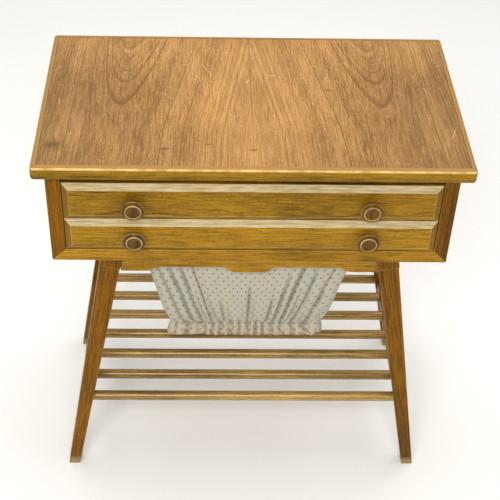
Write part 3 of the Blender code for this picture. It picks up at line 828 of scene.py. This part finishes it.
leg_edge = 0.0014
leg_wood = wood(
    "leg wood", (0.59, 0.38, 0.01), (0.28, 0.17, 0.0), ring_width=0.0045, wobble=0.006, worn=0.5,
    bare=(0.84, 0.64, 0.26), coat=0.03,
)
foot_wear_height = 0.014
tree = leg_wood.node_tree
varnished, shader = painted(tree)
place = object_place(tree)
height = parts(place)["Z"]
ragged = times(minus(speckle(place, 160.0, detail=3.0), 0.5), 0.012)
scuffed = between(plus(height, ragged), foot_wear_height * 0.6, foot_wear_height * 1.3, 0.6, 0.0)
feed(shader, {"Base Color": mixed(scuffed, varnished, srgb(0.66, 0.60, 0.44))})
leg_lean = 0.1785
for end in ("front", "back"):
    for side, sign in (("left", -1), ("right", 1)):
        node = f"{end}_{side}_leg"
        finish_node(node, "_post", leg_edge, leg_wood, "table", "leg_wood", (-sign * leg_lean, 0, 1), steps=3)


# ---
# Aprons and lower side rails. Plain rails tenoned into the legs: two side aprons and a back one under
# the case, and two lower rails bored for the rods. Same stained hardwood as the legs.

for node in ("left_apron", "right_apron"):
    finish_node(node, "_rail", 0.0009, leg_wood, "table", "leg_wood", (0, 1, 0))
finish_node("back_apron", "_rail", 0.0009, leg_wood, "table", "leg_wood", (1, 0, 0))
for node in ("left_shelf_rail", "right_shelf_rail"):
    finish_node(node, "_bar", 0.0009, leg_wood, "table", "leg_wood", (0, 1, 0))


# ---
# Shelf rods. Seven round rods at an even pitch make the open shelf. The outer two are socketed in the
# legs and the five between them in the lower side rails; turned hardwood, lightly varnished.

inputs = {"Geometry": "Geometry", "Length": "Float", "Radius": "Float", "Pitch": "Float", "Height": "Float",
          "Count": "Int", "Finish": "Material"}
tree, given = new_group("shelf rods", "GeometryNodeTree", inputs, {"Geometry": "Geometry"})
tree.is_modifier = True
half = times(given["Length"], 0.5)
start = vector_of(x=times(half, -1.0))
finish = vector_of(x=half)
axis = made(tree, "GeometryNodeCurvePrimitiveLine", {"Start": start, "End": finish})
axis = made(tree, "GeometryNodeResampleCurve", {"Curve": axis, "Count": 60})
share = wire(tree, "GeometryNodeSplineParameter").outputs["Factor"]
near_end = calc("MINIMUM", share, minus(1.0, share))
swell = between(near_end, 0.0, 0.012, 0.9, 1.0)
section = made(tree, "GeometryNodeCurvePrimitiveCircle", {"Resolution": 28, "Radius": given["Radius"]})
rod = wire(
    tree, "GeometryNodeCurveToMesh",
    {"Curve": axis, "Profile Curve": section, "Scale": swell, "Fill Caps": True},
)
row_length = times(given["Pitch"], minus(given["Count"], 1.0))
first = vector_of(y=times(row_length, -0.5), z=given["Height"])
step = vector_of(y=given["Pitch"])
row = made(
    tree, "GeometryNodeMeshLine", {"Count": given["Count"], "Start Location": first, "Offset": step},
    mode="OFFSET",
)
placed = made(tree, "GeometryNodeInstanceOnPoints", {"Points": row, "Instance": rod.outputs[0]})
whole = made(tree, "GeometryNodeRealizeInstances", {0: placed})
finished = made(tree, "GeometryNodeSetMaterial", {"Geometry": whole, "Material": given["Finish"]})
wire(tree, "NodeGroupOutput", {0: finished})

rod_wood = wood(
    "rod wood", (0.74, 0.60, 0.32), (0.38, 0.28, 0.08), ring_share=0.35, worn=0.3, coat=0.8, shine=0.6
)
rod_sizes = {"Length": 0.51, "Radius": 0.008, "Pitch": 0.047, "Height": 0.160, "Count": 7, "Finish": rod_wood}
mesh = run_nodes("shelf_rods", bpy.data.meshes.new("rod row"), tree, rod_sizes)
mesh.set_sharp_from_angle(angle=radians(50))
mesh.shade_smooth()
place_piece(
    "shelf_rods", mesh, rod_wood, "table", [f"shelf_rod_{n}" for n in range(1, 8)],
    along=(1, 0, 0),
)


# ---
# Workbag frame. A shaped front rail with a finger tab in the middle of its lower edge, two side rails
# with tongues and a back rail, sliding in two grooved guides screwed under the case.

rail_wood = wood(
    "bag rail wood", (0.73, 0.54, 0.15), (0.38, 0.26, 0.03), ring_width=0.006, worn=0.35,
    bare=(0.92, 0.80, 0.56), coat=0.03,
)
finish_node(
    "bag_front_rail", "_board", 0.0013, rail_wood, "workbag", "rail_wood", (1, 0, 0), steps=3, sharp=30.0
)
for node, run in (("bag_left_rail", (0, 1, 0)), ("bag_right_rail", (0, 1, 0)), ("bag_back_rail", (1, 0, 0))):
    finish_node(node, "_bar", 0.0007, box_wood, "workbag", "drawer_box_wood", run)
for node in ("bag_left_guide", "bag_right_guide"):
    finish_node(node, "_bar", 0.0007, box_wood, "table", "drawer_box_wood", (0, 1, 0))


# ---
# Bag base. A thin plywood board with rounded corners; the cloth is gathered round its edge and it
# carries whatever lies in the bag.

finish_node("bag_base", "_board", 0.0005, bottom_ply, "workbag", "plywood", (1, 0, 0))


# ---
# Workbag cloth. One long strip of printed cotton, sewn into a tube: tacked inside the frame in shallow
# folds, drawn in tightly round the base board, and left as a short ruffle below the gathering.

cut_width = 1.13
front_columns = 90
side_columns = 68
bag_centre_y = -0.015
bag_corner = 0.008
mouth_z = 0.4560
tacked_z = 0.4400
gather_z = 0.2930
hem_z = 0.2710
bag_profile = (
    (0.4560, 0.1519, 0.1168), (0.4380, 0.1519, 0.1168), (0.4150, 0.1472, 0.1133), (0.3880, 0.1400, 0.1085),
    (0.3420, 0.1288, 0.1005), (0.3050, 0.1198, 0.0950), (0.2930, 0.1154, 0.0922), (0.2710, 0.1185, 0.0953),
)
wall_rows = 44
ruffle_rows = 8
slack = 1.06
ruffle_drop = 0.025
fold_depth = 0.0036
gather_depth = 0.0026
hem_depth = 0.0042
columns_per_gather = 6.4
converge = (0.775, 0.225)

cloth_thickness = 0.0006
dot_pitch_across = 0.016
dot_pitch_down = 0.0172
dot_radius = 0.00145

# The standing folds: where each starts across the side, how deep, how wide, how far down it begins.
front_folds = (
    (-0.90, 0.7, 0.016, 0.0), (-0.80, 0.8, 0.018, 0.0), (-0.69, 1.0, 0.016, 0.0), (-0.56, 1.1, 0.015, 0.0),
    (-0.36, 0.8, 0.026, 0.55), (0.02, 0.8, 0.018, 0.30), (0.33, 0.8, 0.024, 0.50), (0.45, 1.0, 0.026, 0.12),
    (0.56, 1.1, 0.022, 0.0), (0.72, 1.0, 0.022, 0.05), (0.86, 0.8, 0.022, 0.0),
)
side_folds = (
    (-0.78, 0.9, 0.030, 0.1), (-0.52, 0.8, 0.028, 0.3), (-0.20, 1.0, 0.034, 0.2), (0.08, 0.7, 0.03, 0.45),
    (0.34, 1.0, 0.032, 0.1), (0.60, 0.8, 0.028, 0.3), (0.84, 0.9, 0.028, 0.0),
)


def bag_half_sizes(z):
    """The bag's half-width and half-depth at a height."""
    for (z0, x0, y0), (z1, x1, y1) in zip(bag_profile, bag_profile[1:]):
        if z >= z1:
            share = max(0.0, min(1.0, (z0 - z) / (z0 - z1)))
            return x0 + (x1 - x0) * share, y0 + (y1 - y0) * share
    return bag_profile[-1][1], bag_profile[-1][2]


# Each side's outward direction, the direction along it, its columns and its folds.
bag_sides = (((0, 1), (-1, 0), front_columns, front_folds[::-1]),
             ((-1, 0), (0, -1), side_columns, side_folds),
             ((0, -1), (1, 0), front_columns, front_folds), ((1, 0), (0, 1), side_columns, side_folds[::-1]))


def on_bag(side, share, z, drawn):
    """A point on the bag's wall and its outward direction. share runs from -1 to 1 along one side, and
    drawn, from 0 to 1, is how far the cloth there has been pulled towards the side's middle."""
    out, run = bag_sides[side][:2]
    half_x, half_y = bag_half_sizes(z)
    half_run, half_out = (half_x, half_y) if run[0] else (half_y, half_x)
    share = share * (1 - drawn) + drawn * (converge[0] * share + converge[1] * share**5)
    along = share * half_run
    away = half_out
    turn = 0.0
    beyond = abs(along) - (half_run - bag_corner)
    if beyond > 0:
        turn = beyond / bag_corner * pi / 4
        along = (half_run - bag_corner + bag_corner * sin(turn)) * (1 if along > 0 else -1)
        away = half_out - bag_corner + bag_corner * cos(turn)
        turn = turn if along > 0 else -turn
    point = (out[0] * away + run[0] * along, out[1] * away + run[1] * along)
    normal = (out[0] * cos(turn) + run[0] * sin(turn), out[1] * cos(turn) + run[1] * sin(turn))
    return point, normal


def fold_push(side, share, drawn):
    """How far the standing folds carry the cloth in or out, in fold depths."""
    total = 0.0
    for centre, deep, wide, begins in bag_sides[side][3]:
        grown = max(0.0, min(1.0, (drawn - begins) / (1.0 - begins) * 1.6 + (0.25 if begins == 0.0 else 0.0)))
        away = (share - centre - 0.012 * noise.noise(Vector((centre * 9.0, drawn * 3.0, side)))) / wide
        crease = -1.0 * pow(2.718, -away * away)
        ridge = 0.75 * pow(2.718, -((away - 1.7) ** 2) / 1.3) + 0.35 * pow(2.718, -((away + 1.8) ** 2) / 1.3)
        total += deep * grown * (crease + ridge)
    return total


columns = 2 * (front_columns + side_columns)
rows = wall_rows + ruffle_rows + 1
column_places = []
for side in range(4):
    count = bag_sides[side][2]
    column_places += [(side, (2 * k + 1) / count - 1) for k in range(count)]

wall_length = 0.0
above = None
for step in range(60):
    z = mouth_z + (gather_z - mouth_z) * step / 59
    half = bag_half_sizes(z)
    if above:
        wall_length += hypot(z - above[0], half[0] - above[1])
    above = (z, half[0])
cut_length = wall_length * slack + ruffle_drop

start_points = []
flat_points = []
pinned = []
for row in range(rows):
    ruffle = max(0, row - wall_rows) / ruffle_rows
    down = min(row, wall_rows) / wall_rows
    flat_z = -down * wall_length * slack - ruffle * ruffle_drop
    z = mouth_z + (gather_z - mouth_z) * down + (hem_z - gather_z) * ruffle
    drawn = max(0.0, min(1.0, (tacked_z - z) / (tacked_z - gather_z)))
    near_gather = max(0.0, (drawn - 0.90) / 0.10)
    for column, (side, share) in enumerate(column_places):
        (x, y), (out_x, out_y) = on_bag(side, share, z, drawn)
        turn = 2 * pi * column / columns
        medium = noise.noise(Vector((9.0 * cos(turn), 9.0 * sin(turn) + 7.0, 1.7)) * 1.6)
        uneven = noise.noise(Vector((column * 0.075, 3.0, 0.0)))
        lean = 0.9 * noise.noise(Vector((column * 0.05, 5.0, 1.6 * ruffle)))
        gather = 0.5 + 0.5 * sin(2 * pi * column / columns_per_gather + 5.0 * uneven + lean)
        gather = gather * (0.85 + 0.9 * noise.noise(Vector((column * 0.13, 8.0, 2.0 + 0.6 * ruffle))))
        gather += 0.34 * noise.noise(Vector((column * 0.42, 1.0, 2.2 * ruffle)))
        push = -0.0010 * (0.5 + 0.5 * sin(column * 2 * pi / 11 + 2.0 * medium)) * max(0.0, 1 - 4 * drawn)
        push += fold_depth * fold_push(side, share, drawn) * (1 - near_gather)
        push += 0.0044 * sin(pi * drawn**2.2) * (1 - near_gather) * (1.0 if out_y < -0.5 else 0.4)
        push += gather * near_gather * (gather_depth + (hem_depth - gather_depth) * ruffle)
        start_points.append((x + out_x * push, bag_centre_y + y + out_y * push, z))
        radius = cut_width / (2 * pi)
        flat_points.append((radius * cos(turn), radius * sin(turn), flat_z))
        pinned.append(1.0 if z > tacked_z or row == wall_rows else 0.0)

faces = [
    (r + c, r + columns + c, r + columns + (c + 1) % columns, r + (c + 1) % columns)
    for r in range(0, (rows - 1) * columns, columns)
    for c in range(columns)
]
mesh = bpy.data.meshes.new("bag_cloth")
mesh.from_pydata(start_points, [], faces)
layer = mesh.uv_layers.new(name="cut")
for polygon in mesh.polygons:
    row, column = divmod(polygon.index, columns)
    for loop, (down, across) in zip(polygon.loop_indices, ((0, 0), (1, 0), (1, 1), (0, 1))):
        layer.data[loop].uv = (
            (column + across) * cut_width / columns, (row + down) * cut_length / (rows - 1)
        )
bag_cloth = bpy.data.objects.new("bag_cloth", mesh)
scene.collection.objects.link(bag_cloth)

bag_cloth.shape_key_add(name="gathered")
cut_shape = bag_cloth.shape_key_add(name="cut")
for index, spot in enumerate(flat_points):
    cut_shape.data[index].co = spot
group = bag_cloth.vertex_groups.new(name="held")
for index, weight in enumerate(pinned):
    if weight:
        group.add([index], weight, "REPLACE")
drape = bag_cloth.modifiers.new("drape", "CLOTH")
sim = drape.settings
sim.quality = 8
sim.mass = 0.12
sim.air_damping = 3.0
sim.tension_stiffness = 40.0
sim.compression_stiffness = 40.0
sim.shear_stiffness = 10.0
sim.bending_stiffness = 0.05
sim.tension_damping = 10.0
sim.compression_damping = 10.0
sim.shear_damping = 8.0
sim.bending_damping = 0.6
sim.vertex_group_mass = "held"
sim.rest_shape_key = cut_shape
sim.use_pressure = True
sim.uniform_pressure_force = 0.06
drape.collision_settings.use_collision = False
drape.collision_settings.use_self_collision = False
drape_frames = 22
drape.point_cache.frame_start = 1
drape.point_cache.frame_end = drape_frames
scene.frame_end = drape_frames
for moment in range(1, drape_frames + 1):
    scene.frame_set(moment)
graph = bpy.context.evaluated_depsgraph_get()
settled = bpy.data.meshes.new_from_object(bag_cloth.evaluated_get(graph), depsgraph=graph)
bag_cloth.modifiers.remove(drape)
bag_cloth.shape_key_clear()
spots = [tuple(v.co) for v in settled.vertices]
bpy.data.meshes.remove(settled)
scene.frame_set(1)
for vertex, spot in zip(bag_cloth.data.vertices, spots):
    vertex.co = spot

# How deep each point sits in a fold: how far its neighbours stand out past it.
spots = [vertex.co.copy() for vertex in bag_cloth.data.vertices]
in_fold = []
for index, spot in enumerate(spots):
    row, column = divmod(index, columns)
    ring = [spots[row * columns + (column + step) % columns] for step in (-2, -1, 1, 2)]
    ring += [spots[max(0, min(rows - 1, row + step)) * columns + column] for step in (-2, 2)]
    mean = sum(ring, Vector()) / len(ring)
    out = Vector((spot.x, spot.y - bag_centre_y, 0.0))
    out = Vector((out.x / 0.15, out.y / 0.115, 0.0)).normalized()
    in_fold.append(max(0.0, min(1.0, (mean - spot).dot(out) / 0.0007)))
bag_cloth.data.attributes.new("fold", "FLOAT", "POINT").data.foreach_set("value", in_fold)

cotton, tree, shader = new_material("dotted cotton")
cut_place = wire(tree, "ShaderNodeUVMap", uv_map="cut").outputs["UV"]
split = parts(cut_place)


def dot_field(tree, across, down, shift):
    """A soft round dot at every crossing of a lattice on the cut cloth."""
    u = plus(across, shift * dot_pitch_across)
    v = plus(down, shift * dot_pitch_down)
    u = minus(calc("MODULO", u, dot_pitch_across), dot_pitch_across / 2)
    v = minus(calc("MODULO", v, dot_pitch_down), dot_pitch_down / 2)
    away = calc("SQRT", plus(times(u, u), times(v, v)))
    return between(away, dot_radius * 0.75, dot_radius * 1.2, 1.0, 0.0)


printed = calc(
    "MAXIMUM", dot_field(tree, split["X"], split["Y"], 1.0), dot_field(tree, split["X"], split["Y"], 1.5)
)
faded = between(speckle(cut_place, 240.0), 0.3, 0.7, 0.75, 1.0)
weave = wire(tree, "ShaderNodeTexChecker", {"Vector": cut_place, "Scale": 2600.0}).outputs["Fac"]
threads = speckle(cut_place, 900.0, detail=2.0)
ground = mixed(between(threads, 0.35, 0.65), srgb(0.62, 0.615, 0.55), srgb(0.76, 0.755, 0.69))
stained = between(speckle(cut_place, 26.0, detail=3.0), 0.4, 0.7, 0.0, 0.45)
ground = mixed(stained, ground, srgb(0.75, 0.68, 0.56))
near_hem = between(split["Y"], cut_length * 0.80, cut_length, 0.0, 0.55)
ground = mixed(near_hem, ground, srgb(0.76, 0.67, 0.55))
# Points deep in a fold are painted darker: a painted shade in the creases and along the gather.
painted_crease_shade = wire(tree, "ShaderNodeAttribute", attribute_name="fold").outputs["Fac"]
ground = mixed(times(painted_crease_shade, 0.60), ground, srgb(0.36, 0.33, 0.24))
colour = mixed(times(printed, faded), ground, srgb(0.15, 0.13, 0.10))
feed(shader, {"Base Color": colour})
thread_height = plus(times(weave, 0.5), threads)
texture = wire(tree, "ShaderNodeBump", {"Strength": 0.5, "Distance": 0.0002, "Height": thread_height})
feed(shader, {"Normal": texture.outputs["Normal"]})
feed(shader, {"Roughness": 0.92, "Sheen Weight": 0.1, "Specular IOR Level": 0.25})

bag_cloth.data.materials.append(cotton)
bag_cloth.data.shade_smooth()
wall = bag_cloth.modifiers.new("cloth thickness", "SOLIDIFY")
wall.thickness = cloth_thickness
wall.offset = -1.0
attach(bag_cloth, "workbag")
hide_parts("workbag")
